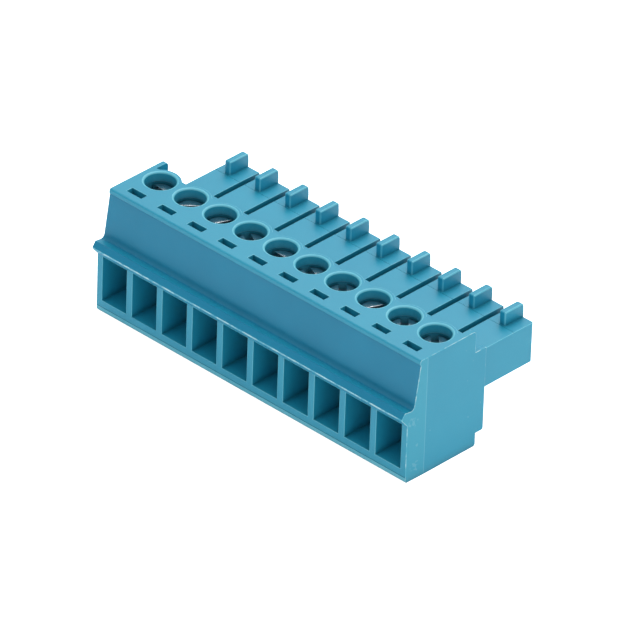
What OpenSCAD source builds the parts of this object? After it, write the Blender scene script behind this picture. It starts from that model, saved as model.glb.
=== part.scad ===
// Pluggable screw terminal block: one moulded housing with a row of rising-cage
// wire clamps, each with its captive screw and its stamped contact.
//
// Lengths are in millimetres. Parts are drawn from this datum:
//   x = 0 at the middle of the row, y = 0 at the face of the wire entries,
//   z = 0 at the underside. The plug end faces +y.
// placed() then moves the origin to the bottom centre of the overall box.

/* [Row] */
// Number of poles
poles = 10; // [2:1:16]
// Distance between pole centres
pitch = 3.5; // [3.4:0.01:5.1]
// Wall between two wire entries
rib_t = 0.68; // [0.5:0.01:0.9]
// Wall outside the last wire entry
end_wall_t = 0.67; // [0.5:0.01:1.5]
// How far each end face draws in from its parting line to the nose
end_draft = 0.06; // [0.02:0.01:0.15]
// Distance of that parting line behind the entry face
parting_y = 2.1; // [1.5:0.1:3]

/* [Clamp] */
// Rise of the cage from open to fully closed
clamp_travel = 2.55; // [1.8:0.1:3.2]
// Sheet thickness of the cage
cage_wall_t = 0.33; // [0.25:0.01:0.4]
// Thickness of the cage's tapped top
cage_top_t = 0.87; // [0.6:0.01:1.2]
// Depth of the cage along the wire
cage_d = 3.6; // [3:0.1:4.2]
// Radius of the cage's folded corners
cage_corner_r = 0.28; // [0.1:0.02:0.35]
// Sheet thickness of the contact
sheet_t = 0.4; // [0.3:0.05:0.5]
// Width of the contact's clamping tongue
tongue_w = 1.7; // [1.3:0.05:1.8]

/* [Screw] */
// Outer radius of the thread
thread_r = 0.98; // [0.8:0.01:1]
// Radius of the screw head
head_r = 1.4; // [1.25:0.01:1.5]
// Height of the screw head
head_h = 1.13; // [0.8:0.01:1.3]
// Width of the driver slot
driver_slot_w = 0.62; // [0.4:0.02:0.8]
// Depth of the driver slot
driver_slot_d = 0.62; // [0.4:0.02:0.7]
// Depth of the screw head below the deck
head_recess = 1; // [0.7:0.05:1.5]
// Radius of the screwdriver hole in the deck
access_r = 1.35; // [1.15:0.01:1.38]

/* [Housing] */
// Floor below the wire entries
floor_t = 1.2; // [0.9:0.05:1.5]
// Depth of a wire entry in front of its cage
entry_d = 3.22; // [2.8:0.05:4]
// Web that carries the screw head above the cage
web_t = 1.1; // [0.6:0.05:1.5]
// Roof over the raised cage, which runs on as the top of the plug
roof_t = 0.39; // [0.25:0.01:0.6]
// Wall behind the cage
back_wall_t = 1.92; // [1.6:0.02:2.6]
// Thickness of the end walls beside the bosses
cheek_t = 0.45; // [0.4:0.05:0.8]
// Radius of the boss around each screwdriver hole
boss_r = 1.78; // [1.6:0.01:1.8]
// Distance from the screw axis to the deck's straight back edge
deck_back = 1.2; // [0.8:0.01:1.35]
// Distance of the deck's front edge behind the entry face
deck_setback = 1.27; // [1:0.01:1.6]
// Height of the lip along the deck's front edge
lip_h = 0.42; // [0.3:0.02:0.7]
// Overhang of that lip over the slanted panel
lip_out = 0.09; // [0.04:0.01:0.2]
// Height of the ledge above the wire entries
ledge_h = 1.3; // [1.1:0.05:1.8]
// Distance of the ledge's inner corner behind the entry face
ledge_y = 0.7; // [0.4:0.05:1]
// Reach of the nose in front of the entry face
nose_out = 0.65; // [0.4:0.05:1]
// Height of the step at the foot of the back face
foot_h = 1.23; // [0.7:0.05:1.5]
// Depth of that step
foot_in = 0.88; // [0.5:0.05:1.4]
// Height of the groove line above the underside
seam_z = 0.55; // [0.35:0.01:0.6]
// Width of the groove line
seam_w = 0.07; // [0.04:0.01:0.12]
// Height of the end walls' rear step above the plug
cheek_step_h = 0.77; // [0.5:0.01:1.2]
// Depth of that step
cheek_step_in = 1.3; // [0.8:0.05:1.6]
// Radius of the housing's small outer edges
edge_r = 0.22; // [0.1:0.01:0.3]
// Chamfer along the two edges that stand on the board
foot_chamfer = 0.15; // [0.05:0.01:0.3]
// Width of the fine mould line across the plug's top
mould_line_w = 0.05; // [0.03:0.01:0.1]

/* [Deck pockets] */
// Width of the pocket in front of each screwdriver hole
pocket_w = 1.68; // [1.2:0.02:2.2]
// Front-to-back size of the pocket
pocket_d = 0.68; // [0.5:0.01:0.9]
// Depth of the pocket
pocket_deep = 1.4; // [0.8:0.05:2]
// Distance from the screw axis to the pocket's middle
pocket_back = 2.76; // [2.5:0.005:3]

/* [Plug] */
// Length of the plug behind the back face
plug_l = 6.44; // [5:0.01:8]
// Height of the plug
plug_h = 3.82; // [3.4:0.02:4.2]
// How far the plug stands in from each end of the row
plug_inset = 0.7; // [0.5:0.05:1.2]
// Chamfer at the plug's leading edges
plug_chamfer = 0.18; // [0.1:0.02:0.4]
// Length of the lead-in slope on the plug's top
lead_l = 2.4; // [1.5:0.05:3]
// Drop of that slope at the plug's end
lead_drop = 0.03; // [0.01:0.01:0.1]
// Width of the slot between two poles
slot_w = 0.52; // [0.4:0.01:0.6]
// Depth of that slot
slot_deep = 1; // [0.6:0.05:1.3]
// Length of that slot
slot_l = 5.5; // [4:0.05:5.8]
// Thickness of the coding tab on each pole
tab_t = 0.64; // [0.5:0.02:0.9]
// Length of a tab
tab_l = 2.26; // [1.5:0.01:2.6]
// Height of a tab above the plug
tab_h = 1.25; // [0.8:0.02:1.5]
// Offset of the tabs from the middle of their poles
tab_shift = 0.12; // [0:0.01:0.3]
// Radius of a tab's rear top corner
tab_r = 0.3; // [0.2:0.05:0.7]

/* [Contact socket] */
// Width of the pin mouth
mouth_w = 1.6; // [1.4:0.05:1.8]
// Height of the pin mouth
mouth_h = 1.8; // [1.4:0.05:2]
// Chamfer around the mouth
mouth_chamfer = 0.3; // [0.1:0.05:0.4]
// Thickness of the wall around the mouths
mouth_wall_t = 0.6; // [0.5:0.05:0.9]
// Width of the contact across its two spring arms
arms_w = 1.9; // [1.7:0.05:2]
// Height of the spring arms at their root
arms_h = 2.2; // [1.9:0.05:2.3]
// Height of the spring arms at their tips
arm_tip_h = 1.3; // [1:0.05:1.6]
// Gap between the spring arms where they grip a pin
grip_gap = 0.6; // [0.4:0.05:0.7]
// Distance of the arm tips in front of the mouth wall
arm_end_gap = 0.35; // [0.2:0.05:0.6]

/* [Hidden] */
// Running clearance around the screw, and beside the cage
fit = 0.05;
// Gap under parts that rest on a stop
rest_gap = 0.02;
// Gap in front of and behind the cage
cage_gap = 0.16;
// Free height above the screw head, under its captive lip
head_play = 0.1;
// Angle of each driver slot from the row, pole by pole
slot_angles = [-4, 43, 67, 152, 0, 158, 133, 66, 133, 140];
// Overlap used where one cut runs into the next
bite = 0.5;
$fn = 48;

// Row
entry_w = pitch - rib_t;
row_l = poles * pitch - rib_t + 2 * end_wall_t;
function pole_x(i) = (i - (poles + 1) / 2) * pitch;

// Cage and tongue, stacked up from the floor of the entry
cage_w = 2 * (thread_r + fit + cage_wall_t);
chamber_w = cage_w + 2 * fit;
cage_z = floor_t + rest_gap;
tongue_z = cage_z + cage_wall_t + clamp_travel + fit;
cage_window_h = clamp_travel + sheet_t + 2 * fit;
cage_h = cage_wall_t + cage_window_h + cage_top_t;
entry_h = cage_h + fit;
entry_top = floor_t + entry_h;
chamber_top = cage_z + cage_h + clamp_travel + fit + 0.03;

// Screw, stacked up from the web over the cage
head_z = chamber_top + web_t + rest_gap;
tip_z = tongue_z + sheet_t + rest_gap;
head_top = head_z + head_h;
deck_z = head_top + head_recess;

// Front to back
screw_y = entry_d + cage_gap + cage_d / 2;
chamber_back = screw_y + cage_d / 2 + cage_gap;
body_back = chamber_back + back_wall_t;
plug_end = body_back + plug_l;
middle_y = (plug_end - nose_out) / 2;

// Plug and contact
plug_top = chamber_top + roof_t;
plug_z = plug_top - plug_h;
mouth_z = plug_top - plug_h / 2;
socket_z = mouth_z - arms_h / 2;
socket_top = mouth_z + arms_h / 2 + fit;
socket_end = plug_end - mouth_wall_t;
riser_y = chamber_back + fit;
arm_root_y = body_back - 0.6;
arm_end_y = socket_end - arm_end_gap;

// Front profile
ledge_z = entry_top + ledge_h;
nose_crest = 0.34;
nose_rise = 0.15;
nose_tip_drop = 0.4;
nose_tip_r = 0.08;
sill_t = 0.08;

// ---- Helpers ----

function unit(v) = v / norm(v);
function turn(a, p, b) = (p[0] - a[0]) * (b[1] - p[1]) - (p[1] - a[1]) * (b[0] - p[0]);

// The sliver between corner p of the outline a, p, b and the arc that rounds it
module corner_sliver(a, p, b, r) {
    u = unit(a - p);
    v = unit(b - p);
    half = acos(u * v) / 2;
    reach = r / tan(half);
    difference() {
        polygon([p + u * reach, p - (u + v) * r / 4, p + v * reach]);
        translate(p + unit(u + v) * r / sin(half)) circle(r);
    }
}

// A counter-clockwise outline whose corners are [across, up, radius]
module rounded_outline(corners) {
    n = len(corners);
    points = [for (c = corners) [c[0], c[1]]];
    last = [for (i = [0:n - 1]) points[(i + n - 1) % n]];
    next = [for (i = [0:n - 1]) points[(i + 1) % n]];
    bends = [for (i = [0:n - 1]) corners[i][2] > 0 ? turn(last[i], points[i], next[i]) : 0];
    difference() {
        union() {
            polygon(points);
            for (i = [0:n - 1]) if (bends[i] < 0)
                corner_sliver(last[i], points[i], next[i], corners[i][2]);
        }
        for (i = [0:n - 1]) if (bends[i] > 0)
            corner_sliver(last[i], points[i], next[i], corners[i][2]);
    }
}

// A side profile, drawn as [y, z], stretched along x about the middle
module along_x(length) rotate([90, 0, 90]) linear_extrude(length, center = true) children();

// A front profile, drawn as [x, z], stretched along y from y0 to y1
module along_y(y0, y1) translate([0, y1, 0]) rotate([90, 0, 0]) linear_extrude(y1 - y0) children();

// A plan, drawn as [x, y], stretched from z0 to z1
module along_z(z0, z1) translate([0, 0, z0]) linear_extrude(z1 - z0) children();

// A box between two corners, centred on x = 0
module slab(width, y0, y1, z0, z1) translate([-width / 2, y0, z0]) cube([width, y1 - y0, z1 - z0]);

module each_pole() for (i = [1:poles]) translate([pole_x(i), 0, 0]) children();

module at_both_ends() for (side = [0, 1]) mirror([side, 0, 0]) children();

module placed() translate([0, -middle_y, 0]) children();

// ---- Housing ----

// Side profile of the clamp body up to the deck's back edge
module body_profile() {
    panel_top_y = deck_setback + lip_out;
    deck_edge_y = screw_y + deck_back;
    rounded_outline([
        [0, foot_chamfer, 0],
        [foot_chamfer, 0, 0],
        [body_back - foot_in - foot_chamfer, 0, 0],
        [body_back - foot_in, foot_chamfer, 0],
        [body_back - foot_in, foot_h, 0],
        [body_back, foot_h, edge_r],
        [body_back, plug_top, 0],
        [deck_edge_y, plug_top, 0],
        [deck_edge_y, deck_z, 0.05],
        [deck_setback, deck_z, edge_r * 0.8],
        [deck_setback - 0.04, deck_z - lip_h, 0.06],
        [panel_top_y - 0.04, deck_z - lip_h - lip_out / 2, 0],
        [ledge_y, ledge_z, 0.4],
        [nose_crest - nose_out, ledge_z + nose_rise, 0.12],
        [-nose_out, ledge_z - nose_tip_drop + nose_tip_r, nose_tip_r],
        [-nose_out, ledge_z - nose_tip_drop - nose_tip_r, nose_tip_r],
        [0, entry_top + sill_t, 0.08],
        [0, seam_z + seam_w / 2, 0],
        [seam_w * 0.8, seam_z, 0],
        [0, seam_z - seam_w / 2, 0]
    ]);
}

// Side profile of the end walls, which stand higher than the plug behind the deck
module cheek_profile() {
    step_z = plug_top + cheek_step_h;
    step_y = body_back - cheek_step_in;
    rounded_outline([
        [screw_y, plug_top - bite, 0],
        [body_back, plug_top - bite, 0],
        [body_back, step_z, 0.08],
        [step_y, step_z, 0.06],
        [step_y, deck_z, 0.35],
        [screw_y, deck_z, 0]
    ]);
}

// Side profile of the plug, with its leading edges chamfered
module plug_profile() {
    low_top = plug_top - lead_drop;
    polygon([
        [body_back - bite, plug_z],
        [plug_end - plug_chamfer, plug_z],
        [plug_end, plug_z + plug_chamfer],
        [plug_end, low_top - plug_chamfer / 2],
        [plug_end - plug_chamfer / 2, low_top],
        [plug_end - lead_l, plug_top],
        [body_back - bite, plug_top]
    ]);
}

module plug_body() {
    half_w = row_l / 2 - plug_inset;
    intersection() {
        along_x(row_l) plug_profile();
        along_z(plug_z - bite, plug_top + bite) polygon([
            [-half_w, body_back - bite],
            [half_w, body_back - bite],
            [half_w, plug_end - plug_chamfer],
            [half_w - plug_chamfer, plug_end],
            [plug_chamfer - half_w, plug_end],
            [-half_w, plug_end - plug_chamfer]
        ]);
    }
}

// The tab that carries a coding piece, one on each pole
module coding_tab() translate([-tab_shift, 0, 0]) {
    front_y = plug_end - tab_l;
    along_x(tab_t) rounded_outline([
        [front_y, plug_top - bite, 0],
        [plug_end, plug_top - bite, 0],
        [plug_end, plug_top + tab_h, tab_r],
        [front_y, plug_top + tab_h, 0.12]
    ]);
}

// Boss that stands on the roof around a screwdriver hole
module boss() translate([0, screw_y, chamber_top]) cylinder(r = boss_r, h = deck_z - chamber_top);

// The wire's way in, and the chamber in which the cage rises
module clamp_chamber() {
    slab(entry_w, -nose_out - bite, entry_d, floor_t, entry_top);
    slab(chamber_w, entry_d - bite / 4, chamber_back, floor_t, entry_top);
    slab(chamber_w, entry_d, chamber_back, entry_top - bite, chamber_top);
}

// Stepped bore of the screw: shank, head, and the narrower hole that keeps the head in
module screw_bore() translate([0, screw_y, 0]) {
    lip_z = head_top + head_play;
    bevel = 0.1;
    along_z(chamber_top - bite, lip_z) circle(thread_r + 2 * fit);
    along_z(head_z - rest_gap, lip_z) circle(head_r + fit);
    along_z(lip_z - bite / 2, deck_z + bite) circle(access_r);
    translate([0, 0, deck_z - bevel]) cylinder(r1 = access_r, r2 = access_r + 2 * bevel, h = 2 * bevel);
}

// Room for the contact, from the chamber to the mouth wall
module socket() {
    slab(arms_w + 2 * fit, chamber_back - bite, socket_end, socket_z, socket_top);
    slab(tongue_w + 2 * fit, chamber_back - bite, riser_y + sheet_t, tongue_z - fit, socket_z + bite);
}

// Mouth for the header's pin, with a bevelled edge
module mouth() {
    flare = 2 * mouth_chamfer;
    front = plug_end - mouth_chamfer;
    slab(mouth_w, socket_end - bite, plug_end + bite, mouth_z - mouth_h / 2, mouth_z + mouth_h / 2);
    intersection() {
        along_z(plug_z, plug_top) polygon([
            [-mouth_w / 2, front],
            [mouth_w / 2, front],
            [mouth_w / 2 + flare, plug_end + mouth_chamfer],
            [-mouth_w / 2 - flare, plug_end + mouth_chamfer]
        ]);
        along_x(pitch) polygon([
            [front, mouth_z - mouth_h / 2],
            [plug_end + mouth_chamfer, mouth_z - mouth_h / 2 - flare],
            [plug_end + mouth_chamfer, mouth_z + mouth_h / 2 + flare],
            [front, mouth_z + mouth_h / 2]
        ]);
    }
}

module deck_pocket() {
    middle = screw_y - pocket_back;
    slab(pocket_w, middle - pocket_d / 2, middle + pocket_d / 2, deck_z - pocket_deep, deck_z + bite);
}

// Slots in the plug's top, between neighbouring poles
module pole_slots() for (i = [1:poles - 1]) translate([pole_x(i) + pitch / 2, 0, 0])
    slab(slot_w, plug_end - slot_l, plug_end + bite, plug_top - slot_deep, plug_top + bite);

// Fine line that the mould leaves across the plug's top, in front of the tabs
module mould_line() {
    half = mould_line_w / 2;
    line_y = plug_end - lead_l;
    along_x(row_l) polygon([
        [line_y - half, plug_top + half],
        [line_y, plug_top - mould_line_w],
        [line_y + half, plug_top + half]
    ]);
}

// Wedge that draws an end face in from its parting line to the nose
module draft_wedge() along_z(-bite, deck_z + bite) polygon([
    [row_l / 2, parting_y],
    [row_l / 2 - end_draft * (parting_y + nose_out + bite) / (parting_y + nose_out), -nose_out - bite],
    [row_l / 2 + bite, -nose_out - bite],
    [row_l / 2 + bite, parting_y]
]);

module housing() color([0.31, 0.65, 0.75]) placed() difference() {
    union() {
        along_x(row_l) body_profile();
        at_both_ends() translate([(row_l - cheek_t) / 2, 0, 0]) along_x(cheek_t) cheek_profile();
        plug_body();
        each_pole() boss();
        each_pole() coding_tab();
    }
    each_pole() clamp_chamber();
    each_pole() screw_bore();
    each_pole() socket();
    each_pole() mouth();
    each_pole() deck_pocket();
    pole_slots();
    mould_line();
    at_both_ends() draft_wedge();
}

// ---- Clamp ----

// Slotted screw; its tip bears on the contact's tongue
module clamp_screw(i) color([0.86, 0.87, 0.88]) placed() translate([pole_x(i), screw_y, 0]) {
    tip_bevel = 0.25;
    difference() {
        rotate_extrude() rounded_outline([
            [0, tip_z, 0],
            [thread_r - tip_bevel, tip_z, 0],
            [thread_r, tip_z + tip_bevel, 0],
            [thread_r, head_z, 0],
            [head_r, head_z, 0.08],
            [head_r, head_top, 0.24],
            [0, head_top, 0]
        ]);
        rotate([0, 0, slot_angles[(i - 1) % len(slot_angles)]])
            slab(3 * head_r, -driver_slot_w / 2, driver_slot_w / 2, head_top - driver_slot_d, head_top + bite);
    }
}

// Folded steel cage, tapped at the top, with a ribbed floor that grips the wire
module clamp_cage(i) color([0.72, 0.73, 0.74]) placed() translate([pole_x(i), screw_y, 0]) {
    half_w = cage_w / 2;
    hole_half_w = half_w - cage_wall_t;
    window_z = cage_z + cage_wall_t;
    top_z = window_z + cage_window_h;
    groove = 0.14;
    groove_step = 0.6;
    difference() {
        along_y(-cage_d / 2, cage_d / 2) rounded_outline([
            [-half_w, cage_z, cage_corner_r],
            [half_w, cage_z, cage_corner_r],
            [half_w, cage_z + cage_h, cage_corner_r],
            [-half_w, cage_z + cage_h, cage_corner_r]
        ]);
        slab(2 * hole_half_w, -cage_d / 2 - bite, cage_d / 2 + bite, window_z, top_z);
        along_z(top_z - bite, cage_z + cage_h + bite) circle(thread_r + fit);
        for (k = [-1:1]) translate([0, k * groove_step, 0]) along_x(2 * hole_half_w) polygon([
            [-groove, window_z + 0.01],
            [0, window_z - groove],
            [groove, window_z + 0.01]
        ]);
    }
}

// ---- Contact ----

// Side profile of the sheet: tongue, riser and the base of the spring arms
module contact_strip() {
    bend_in = 0.15;
    bend_out = bend_in + sheet_t;
    base_y = arm_root_y + 1.4;
    rounded_outline([
        [screw_y - cage_d / 2 + 0.1, tongue_z, 0.1],
        [riser_y + sheet_t, tongue_z, bend_out],
        [riser_y + sheet_t, socket_z, bend_in],
        [base_y, socket_z, 0],
        [base_y, socket_z + sheet_t, 0],
        [riser_y, socket_z + sheet_t, bend_out],
        [riser_y, tongue_z + sheet_t, bend_in],
        [screw_y - cage_d / 2 + 0.1, tongue_z + sheet_t, 0.1]
    ]);
}

// Plan of one spring arm: straight at its root, closing on the pin, flared at its tip
module arm_plan() {
    root_out = arms_w / 2;
    root_in = root_out - sheet_t;
    grip_in = grip_gap / 2;
    grip_y = arm_end_y - 1;
    flare_in = grip_in + 0.28;
    rounded_outline([
        [root_out, arm_root_y, 0],
        [root_out, arm_root_y + 1.6, 1.5],
        [grip_in + sheet_t, grip_y, 0.5],
        [flare_in + sheet_t, arm_end_y, 0.1],
        [flare_in, arm_end_y, 0.1],
        [grip_in, grip_y, 0.5 + sheet_t],
        [root_in, arm_root_y + 1.6, 1.5],
        [root_in, arm_root_y, 0]
    ]);
}

// Side profile that narrows the arms towards their tips
module arm_side() rounded_outline([
    [arm_root_y, socket_z, 0],
    [arm_root_y + 1.6, socket_z, 0.6],
    [arm_end_y - 1.8, mouth_z - arm_tip_h / 2, 0.6],
    [arm_end_y, mouth_z - arm_tip_h / 2, 0.2],
    [arm_end_y, mouth_z + arm_tip_h / 2, 0.2],
    [arm_end_y - 1.8, mouth_z + arm_tip_h / 2, 0.6],
    [arm_root_y + 1.6, mouth_z + arms_h / 2, 0.6],
    [arm_root_y, mouth_z + arms_h / 2, 0.1]
]);

module spring_arms() intersection() {
    along_z(socket_z - bite, mouth_z + arms_h / 2 + bite) for (side = [0, 1]) mirror([side, 0]) arm_plan();
    along_x(pitch) arm_side();
}

module contact(i) color([0.83, 0.8, 0.7]) placed() translate([pole_x(i), 0, 0]) {
    along_x(tongue_w) contact_strip();
    spring_arms();
}

// ---- Nodes ----

housing();
for (i = [1:poles]) clamp_screw(i);
for (i = [1:poles]) clamp_cage(i);
for (i = [1:poles]) contact(i);
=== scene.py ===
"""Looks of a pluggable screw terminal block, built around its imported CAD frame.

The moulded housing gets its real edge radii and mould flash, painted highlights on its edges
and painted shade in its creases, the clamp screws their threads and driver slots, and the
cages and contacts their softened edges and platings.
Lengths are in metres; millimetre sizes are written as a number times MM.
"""

import logging
import math
from dataclasses import dataclass, field
from enum import Enum
from typing import Callable, Optional, Union

import bpy
from mathutils import Matrix, Vector


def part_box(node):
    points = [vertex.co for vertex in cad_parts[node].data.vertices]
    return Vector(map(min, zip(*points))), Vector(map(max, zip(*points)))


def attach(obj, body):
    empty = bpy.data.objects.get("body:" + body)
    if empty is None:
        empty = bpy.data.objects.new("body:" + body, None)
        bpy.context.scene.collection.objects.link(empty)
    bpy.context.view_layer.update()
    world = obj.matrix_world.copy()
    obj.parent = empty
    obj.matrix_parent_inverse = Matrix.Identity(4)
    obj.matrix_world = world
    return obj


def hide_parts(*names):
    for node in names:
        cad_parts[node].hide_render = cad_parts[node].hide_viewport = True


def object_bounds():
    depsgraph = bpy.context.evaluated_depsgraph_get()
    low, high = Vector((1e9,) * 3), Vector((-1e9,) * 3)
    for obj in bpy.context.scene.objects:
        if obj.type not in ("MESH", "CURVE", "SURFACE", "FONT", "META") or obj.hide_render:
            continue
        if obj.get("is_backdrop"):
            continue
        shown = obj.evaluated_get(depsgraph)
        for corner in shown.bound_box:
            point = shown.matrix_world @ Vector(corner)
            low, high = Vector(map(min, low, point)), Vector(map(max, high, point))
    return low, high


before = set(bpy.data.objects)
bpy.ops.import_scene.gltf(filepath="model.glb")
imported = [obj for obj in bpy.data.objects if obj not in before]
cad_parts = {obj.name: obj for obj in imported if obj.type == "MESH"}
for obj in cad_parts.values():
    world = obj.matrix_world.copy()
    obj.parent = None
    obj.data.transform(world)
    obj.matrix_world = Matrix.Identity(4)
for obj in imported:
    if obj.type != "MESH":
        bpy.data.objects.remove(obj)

MM = 0.001
SHARP_TURN = math.radians(35)
SMOOTH_TURN = math.radians(50)
LOG = logging.getLogger("terminal_block")
Colour = tuple[float, float, float, float]
NodeInput = Union[float, tuple, bpy.types.NodeSocket]


class Zone(Enum):
    """Zones of the moulding with different finishes, some of which carry painted light."""

    BODY = 0
    # pale rounded edges and front bottom strip: painted highlight and painted bounce light
    EDGE = 1
    # partly real thin flash, partly painted highlight
    FLASH = 2
    PANEL = 3
    # end faces: a painted paler strip and a split line with a painted highlight
    END = 4


class LampRole(Enum):
    """What each studio lamp does."""

    TOP = "top"
    BACK = "back"
    SIDE = "side"


# ---- Small tools ----


def linear(hex_colour: str) -> Colour:
    """Turns an sRGB hex colour into linear RGBA.

    Args:
        hex_colour: Six hex digits after a hash sign.

    Returns:
        Red, green, blue and an alpha of one, all linear.
    """
    parts = [int(hex_colour[i : i + 2], 16) / 255 for i in (1, 3, 5)]
    r, g, b = (c / 12.92 if c <= 0.04045 else ((c + 0.055) / 1.055) ** 2.4 for c in parts)
    return (r, g, b, 1.0)


def add_node(
    tree: bpy.types.NodeTree,
    kind: str,
    inputs: Optional[dict[Union[str, int], NodeInput]] = None,
    **settings: object,
) -> bpy.types.Node:
    """Adds a shader node, sets its properties, and fills or links its inputs.

    Args:
        tree: The node tree that takes the node.
        kind: The node's type, such as ShaderNodeMath.
        inputs: Values or sockets by the input's name or number.
        **settings: Properties of the node.

    Returns:
        The new node.
    """
    made = tree.nodes.new(kind)
    for name, value in settings.items():
        setattr(made, name, value)
    for key, value in (inputs or {}).items():
        if isinstance(value, bpy.types.NodeSocket):
            tree.links.new(value, made.inputs[key])
        else:
            made.inputs[key].default_value = value
    return made


def choose(obj: bpy.types.Object) -> None:
    """Makes an object the only one selected, and the active one.

    Args:
        obj: The object.
    """
    bpy.ops.object.select_all(action="DESELECT")
    obj.select_set(True)
    bpy.context.view_layer.objects.active = obj


def edit(obj: bpy.types.Object, *steps: Callable[[], object]) -> None:
    """Runs edit-mode steps on all of one object's mesh.

    Args:
        obj: The mesh object.
        *steps: Functions that call mesh operators, run in order with everything selected first.
    """
    choose(obj)
    bpy.ops.object.mode_set(mode="EDIT")
    bpy.ops.mesh.select_all(action="SELECT")
    for step in steps:
        step()
    bpy.ops.object.mode_set(mode="OBJECT")


def edge_turns(mesh: bpy.types.Mesh) -> dict[tuple[int, int], float]:
    """Measures how sharply the surface turns over every edge.

    Args:
        mesh: A closed mesh with outward normals.

    Returns:
        The turn in radians by the edge's two vertices: above zero for an outer corner and
        below zero for an inner one.
    """
    sides: dict[tuple[int, int], list[tuple[Vector, Vector]]] = {}
    for face in mesh.polygons:
        ring = list(face.vertices)
        for a, b in zip(ring, ring[1:] + ring[:1]):
            along = mesh.vertices[b].co - mesh.vertices[a].co
            sides.setdefault((min(a, b), max(a, b)), []).append((face.normal, along))
    turns = {}
    for key, faces in sides.items():
        if len(faces) == 2:
            (one, along), (other, _) = faces
            turn = one.angle(other, 0.0)
            turns[key] = turn if one.cross(other).dot(along) > 0 else -turn
    return turns


def apply_modifier(obj: bpy.types.Object, kind: str, **settings: object) -> None:
    """Adds a modifier with its settings and applies it.

    Args:
        obj: The object that takes it.
        kind: The modifier's type, such as BEVEL.
        **settings: Its properties.
    """
    choose(obj)
    modifier = obj.modifiers.new(kind.lower(), kind)
    for name, value in settings.items():
        setattr(modifier, name, value)
    bpy.ops.object.modifier_apply(modifier=modifier.name)


def settle(obj: bpy.types.Object) -> None:
    """Moves an object's place and turn into its mesh, so that it sits at the origin.

    Args:
        obj: The object.
    """
    choose(obj)
    bpy.ops.object.transform_apply(location=True, rotation=True, scale=True)


def copy_of_node(node_name: str, name: str) -> bpy.types.Object:
    """Copies a CAD node's mesh as a clean, joined surface with flat faces in one piece.

    Args:
        node_name: The CAD node.
        name: The copy's name.

    Returns:
        The copy, at the origin.
    """
    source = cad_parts[node_name]
    copy = bpy.data.objects.new(name, source.data.copy())
    copy.data.materials.clear()
    bpy.context.scene.collection.objects.link(copy)
    weld = 0.002 * MM
    flat = math.radians(0.4)
    choose(copy)
    bpy.ops.mesh.customdata_custom_splitnormals_clear()
    edit(
        copy,
        lambda: bpy.ops.mesh.remove_doubles(threshold=weld),
        lambda: bpy.ops.mesh.dissolve_limited(angle_limit=flat),
    )
    return copy


def soften_edges(
    obj: bpy.types.Object,
    radius: float,
    wider: Optional[Callable[[Vector, Vector], float]] = None,
    segments: int = 2,
    material: int = -1,
) -> None:
    """Rounds every sharp outer edge and keeps the flat faces flat in shading.

    Args:
        obj: The piece.
        radius: Width of the rounding.
        wider: Takes an edge's two ends and says how many times wider its rounding is, or
            zero to leave it sharp.
        segments: Steps across it.
        material: Material slot for the rounded strips, or -1 for the faces' own.
    """
    mesh = obj.data
    turns = edge_turns(mesh)
    widths = []
    for edge in mesh.edges:
        a, b = (mesh.vertices[i].co for i in edge.vertices)
        sharp = turns.get(edge.key, 0.0) > SHARP_TURN
        widths.append((wider(a, b) if wider else 1.0) if sharp else 0.0)
    widest = max(widths)
    weights = mesh.attributes.new("bevel_weight_edge", "FLOAT", "EDGE")
    weights.data.foreach_set("value", [width / widest for width in widths])
    apply_modifier(
        obj,
        "BEVEL",
        width=radius * widest,
        segments=segments,
        limit_method="WEIGHT",
        use_clamp_overlap=False,
        miter_outer="MITER_SHARP",
        material=material,
    )
    shade(obj)


def shade(obj: bpy.types.Object) -> None:
    """Smooths the shading over small steps and keeps large faces flat.

    Args:
        obj: The piece.
    """
    choose(obj)
    bpy.ops.object.shade_smooth_by_angle(angle=SMOOTH_TURN)
    apply_modifier(obj, "WEIGHTED_NORMAL", weight=100, keep_sharp=True)


def dress(obj: bpy.types.Object, body: str, node_name: str) -> None:
    """Lets a piece stand for a CAD node on its body.

    Args:
        obj: The visual piece.
        body: The CAD body it rides on.
        node_name: The CAD node it replaces.
    """
    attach(obj, body)
    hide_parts(node_name)
    LOG.info("%s stands for %s: %d faces", obj.name, node_name, len(obj.data.polygons))


# ---- Finishes ----


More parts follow.
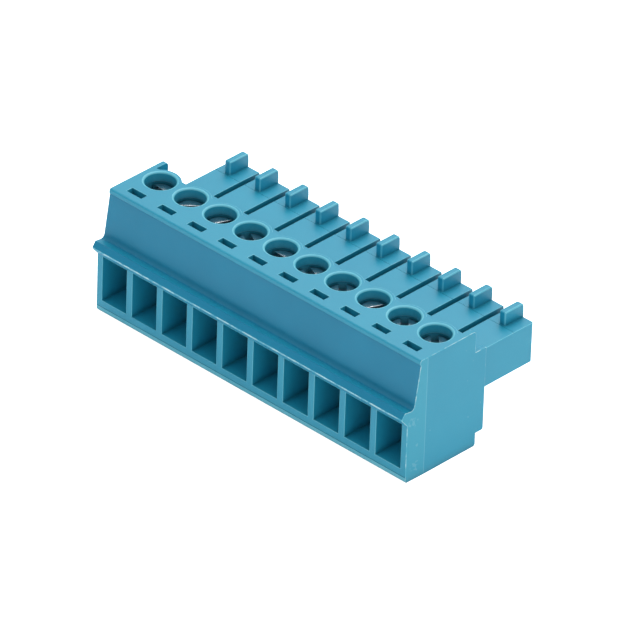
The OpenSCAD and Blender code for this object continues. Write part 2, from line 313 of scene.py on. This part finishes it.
@dataclass(frozen=True)
class MouldedPolyamide:
    """Polyamide 6.6, dyed through, injection moulded in a spark-eroded mould.

    The fine eroded grain scatters the light, so the surface is satin with soft, broad
    highlights, and the dye lets a little light in at thin walls and edges.
    """

    name: str
    deep: str = "#1B98B8"
    pale: str = "#219FBE"
    roughness: float = 0.46
    smoother: float = 0.05
    rougher: float = 0.06
    ior: float = 1.53
    sheen: float = 0.5
    cloud_mm: float = 6.0
    cloud_spread: float = 0.5
    grain_mm: float = 0.16
    grain_depth_mm: float = 0.004
    grain_strength: float = 0.35
    glow_mm: float = 0.35
    glow: float = 0.12
    glow_reach: tuple[float, float, float] = (0.5, 0.9, 1.0)
    # painted shade in creases: the occlusion mask's reach, darkest level, range and samples
    painted_crease_shade_mm: float = 0.8
    painted_crease_shade_depth: float = 0.45
    painted_shade_closed: float = 0.3
    painted_shade_open: float = 0.85
    painted_shade_samples: int = 4

    def make(self) -> bpy.types.Material:
        """Builds the material.

        Returns:
            The material, with its pattern on Object coordinates.
        """
        material = bpy.data.materials.new(self.name)
        material.use_nodes = True
        tree = material.node_tree
        shader = tree.nodes["Principled BSDF"]
        place = add_node(tree, "ShaderNodeTexCoord")
        cloud = add_node(
            tree,
            "ShaderNodeTexNoise",
            {"Vector": place.outputs["Object"], "Scale": 1 / (self.cloud_mm * MM), "Detail": 3.0},
        )
        spread = add_node(
            tree,
            "ShaderNodeMapRange",
            {
                "Value": cloud.outputs[0],
                "From Min": 0.5 - self.cloud_spread / 2,
                "From Max": 0.5 + self.cloud_spread / 2,
            },
        )
        dye = add_node(
            tree,
            "ShaderNodeMix",
            {0: spread.outputs["Result"], 6: linear(self.deep), 7: linear(self.pale)},
            data_type="RGBA",
        )
        marked = self.marks(tree, place.outputs["Object"], dye.outputs[2])
        # painted shade: an ambient-occlusion mask darkens the dye in creases, corners and hollows
        openness = add_node(
            tree,
            "ShaderNodeAmbientOcclusion",
            {"Distance": self.painted_crease_shade_mm * MM},
            samples=self.painted_shade_samples,
        )
        shade_level = add_node(
            tree,
            "ShaderNodeMapRange",
            {
                "Value": openness.outputs["AO"],
                "From Min": self.painted_shade_closed,
                "From Max": self.painted_shade_open,
                "To Min": self.painted_crease_shade_depth,
            },
        )
        crease_shaded = add_node(
            tree,
            "ShaderNodeVectorMath",
            {0: marked, 3: shade_level.outputs["Result"]},
            operation="SCALE",
        )
        # the real grain is about 0.03 mm; it is drawn coarser so that it shows
        grain = add_node(
            tree,
            "ShaderNodeTexNoise",
            {"Vector": place.outputs["Object"], "Scale": 1 / (self.grain_mm * MM), "Detail": 2.0},
        )
        grain_out = grain.outputs[0]
        haze = add_node(
            tree,
            "ShaderNodeMapRange",
            {
                "Value": grain_out,
                "To Min": self.roughness - self.smoother,
                "To Max": self.roughness + self.rougher,
            },
        )
        bump = add_node(
            tree,
            "ShaderNodeBump",
            {
                "Height": grain_out,
                "Distance": self.grain_depth_mm * MM,
                "Strength": self.grain_strength,
            },
        )
        tree.links.new(crease_shaded.outputs[0], shader.inputs["Base Color"])
        tree.links.new(haze.outputs["Result"], shader.inputs["Roughness"])
        tree.links.new(bump.outputs["Normal"], shader.inputs["Normal"])
        shader.inputs["IOR"].default_value = self.ior
        shader.inputs["Specular IOR Level"].default_value = self.sheen
        shader.inputs["Subsurface Weight"].default_value = self.glow
        shader.inputs["Subsurface Radius"].default_value = self.glow_reach
        shader.inputs["Subsurface Scale"].default_value = self.glow_mm * MM
        return material

    def marks(
        self, tree: bpy.types.NodeTree, place: bpy.types.NodeSocket, dye: bpy.types.NodeSocket
    ) -> bpy.types.NodeSocket:
        """Adds marks of the mould to the dye's colour; the plain finish has none.

        Args:
            tree: The material's node tree.
            place: Object coordinates.
            dye: The colour so far.

        Returns:
            The colour with its marks.
        """
        return dye


@dataclass(frozen=True)
class EndFacePolyamide(MouldedPolyamide):
    """The moulding's end faces: a split line painted lighter as a highlight, a strip in front of it
    painted paler as the light its drafted facet catches, and rub marks.
    """

    # painted light: a paler strip in front of the split line, and a real split line painted lighter
    # as a highlight
    strip: str = "#2CA3BF"
    split: str = "#6FC3D6"
    rub: str = "#7FC4D3"
    split_y: float = -5.33
    split_width: float = 0.07
    split_highlight_strength: float = 0.55
    rub_strength: float = 0.3
    rub_grain_mm: float = 0.35
    rub_at_spot: float = 0.62
    rub_at_reach: float = 0.25
    # along the depth, up, and how far each one reaches, in millimetres
    rub_spots: tuple[tuple[float, float, float], ...] = (
        (-6.75, 5.6, 0.9),
        (-6.3, 1.3, 0.8),
        (-6.2, 3.2, 0.35),
        (-5.13, 9.35, 0.09),
    )

    def marks(
        self, tree: bpy.types.NodeTree, place: bpy.types.NodeSocket, dye: bpy.types.NodeSocket
    ) -> bpy.types.NodeSocket:
        """Adds the painted paler strip, the split line with its painted highlight, and the rub
        marks.

        Args:
            tree: The material's node tree.
            place: Object coordinates.
            dye: The colour so far.

        Returns:
            The colour with its marks.
        """
        split = add_node(tree, "ShaderNodeSeparateXYZ", {0: place})
        ahead = add_node(
            tree,
            "ShaderNodeMath",
            {0: split.outputs["Y"], 1: self.split_y * MM},
            operation="LESS_THAN",
        )
        # painted light: the drafted strip in front of the split line is painted paler
        colour = self.lay(tree, dye, self.strip, ahead.outputs[0], 1.0)
        line = add_node(
            tree,
            "ShaderNodeMath",
            {0: split.outputs["Y"], 1: self.split_y * MM, 2: self.split_width / 2 * MM},
            operation="COMPARE",
        )
        # the split line: a real parting line, painted lighter as the highlight it catches
        colour = self.lay(tree, colour, self.split, line.outputs[0], self.split_highlight_strength)
        worn = add_node(
            tree,
            "ShaderNodeTexNoise",
            {"Vector": place, "Scale": 1 / (self.rub_grain_mm * MM)},
        )
        for y, z, reach in self.rub_spots:
            spot = add_node(
                tree, "ShaderNodeCombineXYZ", {0: split.outputs["X"], 1: y * MM, 2: z * MM}
            )
            gap = add_node(
                tree, "ShaderNodeVectorMath", {0: place, 1: spot.outputs[0]}, operation="DISTANCE"
            )
            near = add_node(
                tree,
                "ShaderNodeMapRange",
                {
                    "Value": gap.outputs["Value"],
                    "From Max": reach * MM,
                    "To Min": self.rub_at_spot,
                    "To Max": self.rub_at_reach,
                },
            )
            patch = add_node(
                tree,
                "ShaderNodeMath",
                {0: near.outputs["Result"], 1: worn.outputs[0]},
                operation="GREATER_THAN",
            )
            colour = self.lay(tree, colour, self.rub, patch.outputs[0], self.rub_strength)
        return colour

    @staticmethod
    def lay(
        tree: bpy.types.NodeTree,
        under: bpy.types.NodeSocket,
        over: str,
        where: bpy.types.NodeSocket,
        strength: float,
    ) -> bpy.types.NodeSocket:
        """Lays a colour over another one where a mask is set.

        Args:
            tree: The material's node tree.
            under: The colour below.
            over: The colour above.
            where: The mask, from zero to one.
            strength: How much of the upper colour shows at the mask's full value.

        Returns:
            The mixed colour.
        """
        amount = add_node(tree, "ShaderNodeMath", {0: where, 1: strength}, operation="MULTIPLY")
        mixed = add_node(
            tree,
            "ShaderNodeMix",
            {0: amount.outputs[0], 6: under, 7: linear(over)},
            data_type="RGBA",
        )
        return mixed.outputs[2]


@dataclass(frozen=True)
class ZincPlatedSteel:
    """Cold-headed steel screw, turned and bright zinc plated.

    The plating is bright but not a mirror, and the turning leaves fine rings on the head.
    """

    name: str
    pitch: float
    colour: str = "#DDE0E2"
    shadow: str = "#AEB4B8"
    roughness: float = 0.13
    smoother: float = 0.04
    rougher: float = 0.08
    stain_mm: float = 0.5
    ring_mm: float = 0.09
    ring_depth_mm: float = 0.0025
    ring_strength: float = 0.5

    def make(self) -> bpy.types.Material:
        """Builds the material, with rings round every screw's own axis.

        Returns:
            The material.
        """
        material = bpy.data.materials.new(self.name)
        material.use_nodes = True
        tree = material.node_tree
        shader = tree.nodes["Principled BSDF"]
        place = add_node(tree, "ShaderNodeTexCoord")
        axis_y = sum(c.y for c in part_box("clamp_screw_1")) / 2
        split = add_node(tree, "ShaderNodeSeparateXYZ", {0: place.outputs["Object"]})
        across = add_node(
            tree, "ShaderNodeMath", {0: split.outputs["X"], 1: 0.0, 2: self.pitch}, operation="WRAP"
        )
        off_x = add_node(
            tree, "ShaderNodeMath", {0: across.outputs[0], 1: self.pitch / 2}, operation="SUBTRACT"
        )
        off_y = add_node(
            tree, "ShaderNodeMath", {0: split.outputs["Y"], 1: axis_y}, operation="SUBTRACT"
        )
        spot = add_node(tree, "ShaderNodeCombineXYZ", {0: off_x.outputs[0], 1: off_y.outputs[0]})
        reach = add_node(tree, "ShaderNodeVectorMath", {0: spot.outputs[0]}, operation="LENGTH")
        turns = add_node(
            tree,
            "ShaderNodeMath",
            {0: reach.outputs["Value"], 1: 2 * math.pi / (self.ring_mm * MM)},
            operation="MULTIPLY",
        )
        rings = add_node(tree, "ShaderNodeMath", {0: turns.outputs[0]}, operation="SINE")
        stain = add_node(
            tree,
            "ShaderNodeTexNoise",
            {"Vector": place.outputs["Object"], "Scale": 1 / (self.stain_mm * MM), "Detail": 4.0},
        )
        colour = add_node(
            tree,
            "ShaderNodeMix",
            {0: stain.outputs[0], 6: linear(self.shadow), 7: linear(self.colour)},
            data_type="RGBA",
        )
        haze = add_node(
            tree,
            "ShaderNodeMapRange",
            {
                "Value": stain.outputs[0],
                "To Min": self.roughness - self.smoother,
                "To Max": self.roughness + self.rougher,
            },
        )
        bump = add_node(
            tree,
            "ShaderNodeBump",
            {
                "Height": rings.outputs[0],
                "Distance": self.ring_depth_mm * MM,
                "Strength": self.ring_strength,
            },
        )
        tree.links.new(colour.outputs[2], shader.inputs["Base Color"])
        tree.links.new(haze.outputs["Result"], shader.inputs["Roughness"])
        tree.links.new(bump.outputs["Normal"], shader.inputs["Normal"])
        shader.inputs["Metallic"].default_value = 1.0
        return material


@dataclass(frozen=True)
class RolledStrip:
    """Plated metal strip, rolled and then stamped: fine scratches run along the strip."""

    name: str
    bright: str
    dull: str
    along: tuple[float, float, float]
    roughness: float = 0.34
    smoother: float = 0.08
    rougher: float = 0.1
    line_mm: float = 0.06

    def make(self) -> bpy.types.Material:
        """Builds the material.

        Returns:
            The material, with its rolling lines stretched along the strip.
        """
        material = bpy.data.materials.new(self.name)
        material.use_nodes = True
        tree = material.node_tree
        shader = tree.nodes["Principled BSDF"]
        place = add_node(tree, "ShaderNodeTexCoord")
        stretched = add_node(
            tree, "ShaderNodeMapping", {"Vector": place.outputs["Object"], "Scale": self.along}
        )
        lines = add_node(
            tree,
            "ShaderNodeTexNoise",
            {"Vector": stretched.outputs[0], "Scale": 1 / (self.line_mm * MM), "Detail": 2.0},
        )
        colour = add_node(
            tree,
            "ShaderNodeMix",
            {0: lines.outputs[0], 6: linear(self.dull), 7: linear(self.bright)},
            data_type="RGBA",
        )
        haze = add_node(
            tree,
            "ShaderNodeMapRange",
            {
                "Value": lines.outputs[0],
                "To Min": self.roughness - self.smoother,
                "To Max": self.roughness + self.rougher,
            },
        )
        tree.links.new(colour.outputs[2], shader.inputs["Base Color"])
        tree.links.new(haze.outputs["Result"], shader.inputs["Roughness"])
        shader.inputs["Metallic"].default_value = 1.0
        return material


# ---- Pieces ----


@dataclass
class Housing:
    """The one-piece moulding that holds every clamp and contact."""

    edge_radius: float = 0.045 * MM
    tab_radius: float = 0.11 * MM
    rim_radius: float = 0.1 * MM
    rim_reach: float = 1.6 * MM
    tab_front: float = 5.0 * MM
    tab_foot: float = 8.9 * MM
    deck_reach: float = 0.01 * MM
    front_reach: float = 1.95 * MM
    front_turn: float = -0.9
    panel_turn: float = -0.05
    panel_foot: float = 5.95 * MM
    panel_top: float = 10.95 * MM
    end_reach: float = 0.08 * MM
    highlight_tip_reach: float = 0.05 * MM
    highlight_tip_turn: float = 0.1
    groove_reach: float = 0.06 * MM
    seam_height: float = 0.55 * MM
    split_line: float = 5.675 * MM
    finishes: dict[Zone, MouldedPolyamide] = field(
        default_factory=lambda: {
            Zone.BODY: MouldedPolyamide("polyamide_66_moulded"),
            # painted highlight: rounded edges and the front's bottom strip are paler, standing in
            # for the light they catch
            Zone.EDGE: MouldedPolyamide(
                "polyamide_66_edge_painted_highlight", deep="#4DB6CE", pale="#6CC8DC", roughness=0.4
            ),
            # pale finish on the end outlines, partly real thin flash and partly painted highlight;
            # on the ledge's nose tip it is a painted highlight
            Zone.FLASH: MouldedPolyamide(
                "polyamide_66_flash_and_painted_highlight",
                deep="#46AEC8",
                pale="#B4E2EA",
                roughness=0.5,
                cloud_mm=0.6,
                cloud_spread=0.25,
                glow=0.3,
            ),
            # the front panel is drawn in a darker, deeper blue than the body, smoother and with
            # less sheen
            Zone.PANEL: MouldedPolyamide(
                "polyamide_66_darker_smoother_panel",
                deep="#1383A8",
                pale="#168BB1",
                roughness=0.36,
                sheen=0.28,
            ),
            Zone.END: EndFacePolyamide("polyamide_66_end_face"),
        }
    )
    low: Vector = field(init=False)
    high: Vector = field(init=False)
    axes: list[Vector] = field(init=False)

    def __post_init__(self) -> None:
        """Measures the housing's box and the screws' axes once, because measuring is slow."""
        self.low, self.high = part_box("housing")
        self.axes = [
            Vector(sum(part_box(name), Vector()) / 2).xy
            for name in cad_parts
            if name.startswith("clamp_screw_")
        ]

    def build(self) -> bpy.types.Object:
        """Builds the housing and dresses it.

        Returns:
            The piece that stands for the CAD housing.
        """
        body = copy_of_node("housing", "housing_moulding")
        for zone in Zone:
            body.data.materials.append(self.finishes[zone].make())
        # the rounded strips take the paler edge finish, a painted highlight
        soften_edges(body, self.edge_radius, self.edge_factor, 3, Zone.EDGE.value)
        self.mark_zones(body)
        dress(body, "body", "housing")
        return body

    def edge_factor(self, a: Vector, b: Vector) -> float:
        """Says how many times wider an edge is rounded than the rest.

        Args:
            a: One end of the edge.
            b: Its other end.

        Returns:
            The factor: above one on the coding tabs and round the screw bores, and zero on
            the two fine grooves.
        """
        middle = (a + b) / 2
        on_seam = abs(middle.z - self.low.z - self.seam_height) < self.groove_reach
        on_split = abs(middle.y - self.split_line) < self.groove_reach
        if (on_seam and middle.y < 0) or (on_split and middle.z < self.tab_foot):
            return 0.0
        if max(a.z, b.z) > self.tab_foot and min(a.y, b.y) > self.tab_front:
            return self.tab_radius / self.edge_radius
        if min(a.z, b.z) > self.high.z - self.deck_reach:
            if min((axis - middle.xy).length for axis in self.axes) < self.rim_reach:
                return self.rim_radius / self.edge_radius
        return 1.0

    def mark_zones(self, body: bpy.types.Object) -> None:
        """Gives every face the finish of its zone.

        Args:
            body: The housing, with one material for each zone.
        """
        counts = {zone: 0 for zone in Zone}
        for face in body.data.polygons:
            zone = self.zone_of(face)
            face.material_index = zone.value
            counts[zone] += 1
        LOG.info("faces by zone: %s", {zone.name: count for zone, count in counts.items()})

    def zone_of(self, face: bpy.types.MeshPolygon) -> Zone:
        """Tells which zone a face belongs to.

        Args:
            face: A face of the rounded housing.

        Returns:
            Its zone.
        """
        spot, normal = face.center, face.normal
        edge = face.material_index == Zone.EDGE.value
        if abs(spot.x) > self.high.x - self.end_reach:
            return Zone.FLASH if edge else Zone.END
        # painted highlight: the ledge's nose tip takes the pale flash finish
        if spot.y < self.low.y + self.highlight_tip_reach and normal.z < self.highlight_tip_turn:
            return Zone.FLASH
        on_front = spot.y < self.low.y + self.front_reach
        on_panel = normal.y < self.panel_turn and self.panel_foot < spot.z < self.panel_top
        # painted light: the front's bottom strip takes the paler edge finish, standing in for light
        # bounced up from the floor
        on_lit_sill = normal.y < self.front_turn and spot.z < self.low.z + self.seam_height
        if on_front and on_panel and not edge:
            return Zone.PANEL
        # bevel strips and the front's bottom strip get the paler edge finish as painted highlight
        # and painted bounce light
        return Zone.EDGE if edge or (on_front and on_lit_sill) else Zone.BODY


@dataclass
class ClampScrews:
    """The row of slotted screws, each with a rolled thread."""

    poles: int
    pitch: float
    head_height: float = 1.13 * MM
    crown: float = 0.26 * MM
    under_edge: float = 0.08 * MM
    thread_pitch: float = 0.4 * MM
    thread_radius: float = 0.98 * MM
    core_radius: float = 0.76 * MM
    thread_run: float = 3.9 * MM
    thread_ridge: float = 0.19 * MM
    thread_lift: float = 0.25 * MM
    thread_turn: float = math.radians(40)
    tip_share: float = 0.8
    tip_chamfer: float = 0.12 * MM
    neck_flare: float = 0.1 * MM
    # inwards and downwards from the head's upper corner, in shares of the crown
    crown_steps: tuple[tuple[float, float], ...] = (
        (0.0, 1.0),
        (0.12, 0.62),
        (0.4, 0.25),
        (0.85, 0.05),
        (1.4, 0.0),
    )
    slot_width: float = 0.62 * MM
    slot_depth: float = 0.62 * MM
    slot_edge: float = 0.035 * MM
    turned_sides: int = 64
    thread_steps: int = 20
    slot_angles: tuple[float, ...] = (-4, 43, 67, 152, 0, 158, 133, 66, 133, 140)

    def build(self) -> list[bpy.types.Object]:
        """Builds every screw.

        Returns:
            The screws, in the order of their poles.
        """
        steel = ZincPlatedSteel("steel_screw_bright_zinc_plated", self.pitch).make()
        screws = []
        for i in range(1, self.poles + 1):
            screw = self.screw(i)
            screw.data.materials.append(steel)
            dress(screw, f"screw_{i}", f"clamp_screw_{i}")
            screws.append(screw)
        return screws

    def screw(self, i: int) -> bpy.types.Object:
        """Turns one screw, cuts its driver slot and rolls its thread.

        Args:
            i: The pole's number, from one.

        Returns:
            The screw in its bore.
        """
        low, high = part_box(f"clamp_screw_{i}")
        centre = (low + high) / 2
        head_radius = (high.x - low.x) / 2
        seat = high.z - self.head_height
        profile = [
            (self.core_radius * self.tip_share, low.z),
            (self.core_radius, low.z + self.tip_chamfer),
            (self.core_radius, seat - self.under_edge),
            (self.core_radius + self.neck_flare, seat),
            (head_radius - self.under_edge, seat),
            (head_radius, seat + self.under_edge),
        ]
        profile += [
            (head_radius - self.crown * inwards, high.z - self.crown * downwards)
            for inwards, downwards in self.crown_steps
        ]
        screw = self.turned(f"screw_{i}_slotted", profile, centre)
        self.cut_slot(screw, high, centre, self.slot_angles[(i - 1) % len(self.slot_angles)])
        soften_edges(screw, self.slot_edge)
        thread = self.thread(centre)
        choose(screw)
        thread.select_set(True)
        bpy.ops.object.join()
        settle(screw)
        return screw

    def turned(
        self, name: str, profile: list[tuple[float, float]], centre: Vector
    ) -> bpy.types.Object:
        """Turns a solid round an upright axis by extruding and resizing its end face.

        Args:
            name: The piece's name.
            profile: Radius and height of each step, from the bottom up.
            centre: A point on the axis.

        Returns:
            The closed solid.
        """
        radius, height = profile[0]
        bpy.ops.object.select_all(action="DESELECT")
        bpy.ops.mesh.primitive_circle_add(
            vertices=self.turned_sides,
            radius=radius,
            fill_type="NGON",
            location=(centre.x, centre.y, height),
        )
        piece = bpy.context.active_object
        piece.name = name
        bpy.ops.object.mode_set(mode="EDIT")
        for next_radius, next_height in profile[1:]:
            scale = next_radius / radius
            bpy.ops.mesh.extrude_region_move(
                TRANSFORM_OT_translate={"value": (0, 0, next_height - height)}
            )
            bpy.ops.transform.resize(
                value=(scale, scale, 1), center_override=(centre.x, centre.y, next_height)
            )
            radius, height = next_radius, next_height
        bpy.ops.mesh.select_all(action="SELECT")
        bpy.ops.mesh.normals_make_consistent(inside=False)
        bpy.ops.object.mode_set(mode="OBJECT")
        settle(piece)
        return piece

    def cut_slot(
        self, screw: bpy.types.Object, high: Vector, centre: Vector, angle: float
    ) -> None:
        """Saws the driver slot across the head.

        Args:
            screw: The turned screw.
            high: The highest corner of its box.
            centre: A point on its axis.
            angle: The slot's turn from the row, in degrees.
        """
        bpy.ops.object.select_all(action="DESELECT")
        bpy.ops.mesh.primitive_cube_add(
            size=1,
            location=(centre.x, centre.y, high.z),
            rotation=(0, 0, math.radians(angle)),
            scale=(4 * MM, self.slot_width, 2 * self.slot_depth),
        )
        saw = bpy.context.active_object
        apply_modifier(screw, "BOOLEAN", operation="DIFFERENCE", object=saw, solver="EXACT")
        bpy.data.objects.remove(saw)

    def thread(self, centre: Vector) -> bpy.types.Object:
        """Winds the thread's sharp ridge round the core.

        Args:
            centre: A point on the screw's axis.

        Returns:
            The ridge, closed at both ends.
        """
        low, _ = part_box("clamp_screw_1")
        turns = self.thread_run / self.thread_pitch
        bpy.ops.object.select_all(action="DESELECT")
        bpy.ops.mesh.primitive_circle_add(
            vertices=3,
            radius=self.thread_ridge,
            fill_type="NOTHING",
            location=(self.thread_radius - self.thread_ridge, 0, 0),
            rotation=(math.pi / 2, math.pi / 2, 0),
        )
        piece = bpy.context.active_object
        settle(piece)
        apply_modifier(
            piece,
            "SCREW",
            axis="Z",
            angle=2 * math.pi * turns,
            screw_offset=self.thread_run,
            steps=int(self.thread_steps * turns),
            render_steps=int(self.thread_steps * turns),
        )
        foot = Vector((centre.x, centre.y, low.z + self.thread_lift))
        piece.data.transform(Matrix.Translation(foot))
        edit(
            piece,
            lambda: bpy.ops.mesh.fill_holes(sides=0),
            lambda: bpy.ops.mesh.select_all(action="SELECT"),
            lambda: bpy.ops.mesh.normals_make_consistent(inside=False),
        )
        choose(piece)
        bpy.ops.object.shade_smooth_by_angle(angle=self.thread_turn)
        return piece


@dataclass
class StampedParts:
    """The rising cages and the contacts: sheet metal with softened edges."""

    poles: int
    cage_edge: float = 0.04 * MM
    contact_edge: float = 0.03 * MM

    def build(self) -> list[bpy.types.Object]:
        """Builds every cage and contact.

        Returns:
            The cages and contacts.
        """
        cage_steel = RolledStrip(
            "steel_cage_nickel_plated", bright="#C9CBCC", dull="#9FA3A6", along=(1.0, 0.08, 1.0)
        ).make()
        tin = RolledStrip(
            "bronze_contact_tin_plated",
            bright="#D8D5CC",
            dull="#B0ACA2",
            along=(1.0, 0.1, 1.0),
            roughness=0.4,
        ).make()
        pieces = []
        for i in range(1, self.poles + 1):
            cage = copy_of_node(f"clamp_cage_{i}", f"cage_{i}_folded")
            cage.data.materials.append(cage_steel)
            soften_edges(cage, self.cage_edge)
            dress(cage, f"cage_{i}", f"clamp_cage_{i}")
            contact = copy_of_node(f"contact_{i}", f"contact_{i}_stamped")
            contact.data.materials.append(tin)
            soften_edges(contact, self.contact_edge)
            dress(contact, "body", f"contact_{i}")
            pieces += [cage, contact]
        return pieces


# ---- Studio ----


@dataclass
class Camera:
    """A long lens, high in front of the block's right end."""

    azimuth: float = 43.088
    elevation: float = 33.007
    roll: float = 2.046
    distance: float = 820.71 * MM
    aim_right: float = 5.829 * MM
    aim_up: float = 5.607 * MM
    lens: float = 562.71
    sensor: float = 36
    near: float = 0.01
    far: float = 10
    middle_back: float = 7.425 * MM
    base_up: float = 0.72 * MM

    def build(self) -> bpy.types.Object:
        """Places the camera.

        Returns:
            The camera, which is also the scene's.
        """
        a, e, r = (math.radians(v) for v in (self.azimuth, self.elevation, self.roll))
        back = Vector((math.sin(a) * math.cos(e), -math.cos(a) * math.cos(e), math.sin(e)))
        level = Vector((0, 0, 1)).cross(back).normalized()
        rise = back.cross(level)
        right = math.cos(r) * level + math.sin(r) * rise
        up = -math.sin(r) * level + math.cos(r) * rise
        place = self.aim_right * right + self.aim_up * up + self.distance * back
        place += Vector((0, -self.middle_back, self.base_up))
        data = bpy.data.cameras.new("camera")
        data.lens = self.lens
        data.sensor_width = self.sensor
        data.clip_start = self.near
        data.clip_end = self.far
        camera = bpy.data.objects.new("camera", data)
        axes = Matrix((right, up, back)).transposed()
        camera.matrix_world = Matrix.Translation(place) @ axes.to_4x4()
        bpy.context.scene.collection.objects.link(camera)
        bpy.context.scene.camera = camera
        return camera


@dataclass(frozen=True)
class Softbox:
    """A square lamp: where it hangs, the length of its side, and its power in watts."""

    place: tuple[float, float, float]
    size: float
    power: float


@dataclass
class Studio:
    """A pale floor in a white tent, with soft lamps above and beside the block."""

    floor_size: float = 1.2
    floor_colour: str = "#F5F5F5"
    floor_roughness: float = 0.9
    floor_glow: float = 0.34
    floor_lift: float = 0.6
    horizon_level: float = 0.2
    zenith_level: float = 0.76
    zenith_height: float = 0.6
    lamps: dict[LampRole, Softbox] = field(
        default_factory=lambda: {
            LampRole.TOP: Softbox((0.0, 0.0, 0.55), 0.36, 0.15),
            LampRole.BACK: Softbox((-0.15, 0.3, 0.43), 0.36, 1.15),
            LampRole.SIDE: Softbox((0.38, -0.05, 0.38), 0.30, 0.25),
        }
    )

    def build(self) -> None:
        """Builds the floor, the world and the lamps."""
        self.floor()
        self.world()
        for role, softbox in self.lamps.items():
            self.lamp(role, softbox)

    def floor(self) -> bpy.types.Object:
        """Lays the floor at the block's underside.

        The floor glows a little, like paper over a light box, and the camera sees some more
        light in it, so that it is white wherever no shadow falls.

        Returns:
            The floor, marked as stage.
        """
        low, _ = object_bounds()
        bpy.ops.object.select_all(action="DESELECT")
        bpy.ops.mesh.primitive_plane_add(size=self.floor_size, location=(0, 0, low.z))
        floor = bpy.context.active_object
        floor.name = "studio_floor"
        settle(floor)
        material = bpy.data.materials.new("paper_floor_matt")
        material.use_nodes = True
        tree = material.node_tree
        shader = tree.nodes["Principled BSDF"]
        shader.inputs["Base Color"].default_value = linear(self.floor_colour)
        shader.inputs["Roughness"].default_value = self.floor_roughness
        shader.inputs["Specular IOR Level"].default_value = 0.0
        path = add_node(tree, "ShaderNodeLightPath")
        level = add_node(
            tree,
            "ShaderNodeMath",
            {0: path.outputs["Is Camera Ray"], 1: self.floor_lift, 2: self.floor_glow},
            operation="MULTIPLY_ADD",
        )
        glow = add_node(tree, "ShaderNodeEmission", {"Strength": level.outputs[0]})
        both = add_node(tree, "ShaderNodeAddShader", {0: shader.outputs[0], 1: glow.outputs[0]})
        tree.links.new(both.outputs[0], tree.nodes["Material Output"].inputs["Surface"])
        floor.data.materials.append(material)
        floor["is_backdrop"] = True
        return floor

    def world(self) -> None:
        """Makes the world a soft tent, brighter overhead, and plain white to the camera."""
        world = bpy.data.worlds.new("white_tent")
        bpy.context.scene.world = world
        world.use_nodes = True
        tree = world.node_tree
        light = tree.nodes["Background"]
        light.inputs["Color"].default_value = linear("#FFFFFF")
        place = add_node(tree, "ShaderNodeTexCoord")
        split = add_node(tree, "ShaderNodeSeparateXYZ", {0: place.outputs["Generated"]})
        level = add_node(
            tree,
            "ShaderNodeMapRange",
            {
                "Value": split.outputs["Z"],
                "From Max": self.zenith_height,
                "To Min": self.horizon_level,
                "To Max": self.zenith_level,
            },
        )
        tree.links.new(level.outputs["Result"], light.inputs["Strength"])
        white = add_node(tree, "ShaderNodeBackground", {"Strength": 1.0})
        white.inputs["Color"].default_value = linear("#FFFFFF")
        path = add_node(tree, "ShaderNodeLightPath")
        mixed = add_node(
            tree,
            "ShaderNodeMixShader",
            {0: path.outputs["Is Camera Ray"], 1: light.outputs[0], 2: white.outputs[0]},
        )
        tree.links.new(mixed.outputs[0], tree.nodes["World Output"].inputs["Surface"])

    @staticmethod
    def lamp(role: LampRole, softbox: Softbox) -> None:
        """Hangs one square softbox that looks at the block.

        Args:
            role: What the lamp does.
            softbox: Its place, size and power.
        """
        place = Vector(softbox.place)
        data = bpy.data.lights.new(f"lamp_{role.value}", "AREA")
        data.shape = "SQUARE"
        data.size = softbox.size
        data.energy = softbox.power
        lamp = bpy.data.objects.new(f"lamp_{role.value}", data)
        lamp.location = place
        lamp.rotation_euler = place.to_track_quat("Z", "Y").to_euler()
        bpy.context.scene.collection.objects.link(lamp)


def main() -> None:
    """Builds the camera, the pieces and the studio, in that order."""
    logging.basicConfig(level=logging.INFO, format="%(name)s: %(message)s")
    Camera().build()
    poles = sum(1 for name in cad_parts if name.startswith("clamp_screw_"))
    first, second = (sum(c.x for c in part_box(f"clamp_screw_{i}")) / 2 for i in (1, 2))
    pitch = second - first
    Housing().build()
    ClampScrews(poles, pitch).build()
    StampedParts(poles).build()
    Studio().build()
    bpy.context.scene.view_settings.view_transform = "Standard"


if __name__ == "__main__":
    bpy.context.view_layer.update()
    main()
